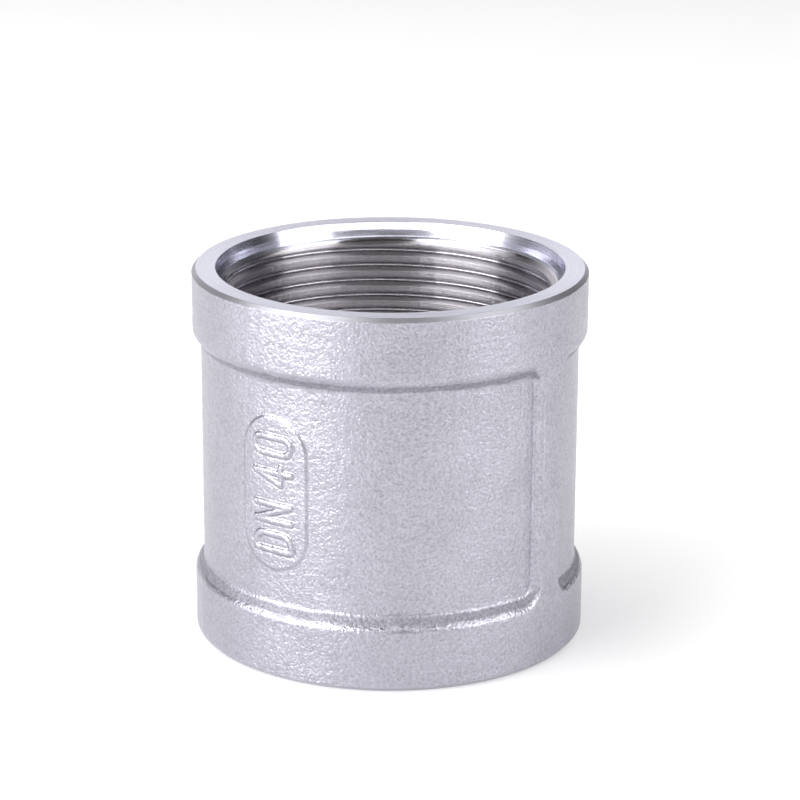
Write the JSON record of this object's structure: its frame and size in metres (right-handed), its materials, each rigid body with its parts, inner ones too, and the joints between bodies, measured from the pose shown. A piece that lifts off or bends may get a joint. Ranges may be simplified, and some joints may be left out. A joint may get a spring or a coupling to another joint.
{
  "type": "pipe coupling",
  "caption": "Short banded pipe coupling in cast stainless steel: a straight sleeve with a thick band at each end, side ribs and internal pipe threads.",
  "frame": {"origin": "centre of the lower end face, on the thread axis", "axes": "+Z along the thread axis to the upper mouth; the size mark faces -Y and the ribs are on +X and -X"},
  "size_m": [0.056, 0.056, 0.0533],
  "materials": {
    "cast_stainless": "satin cast skin outside, bright machined end faces and threads"
  },
  "bodies": {
    "root": {"coupling_body": "cast_stainless"}
  },
  "joints": []
}
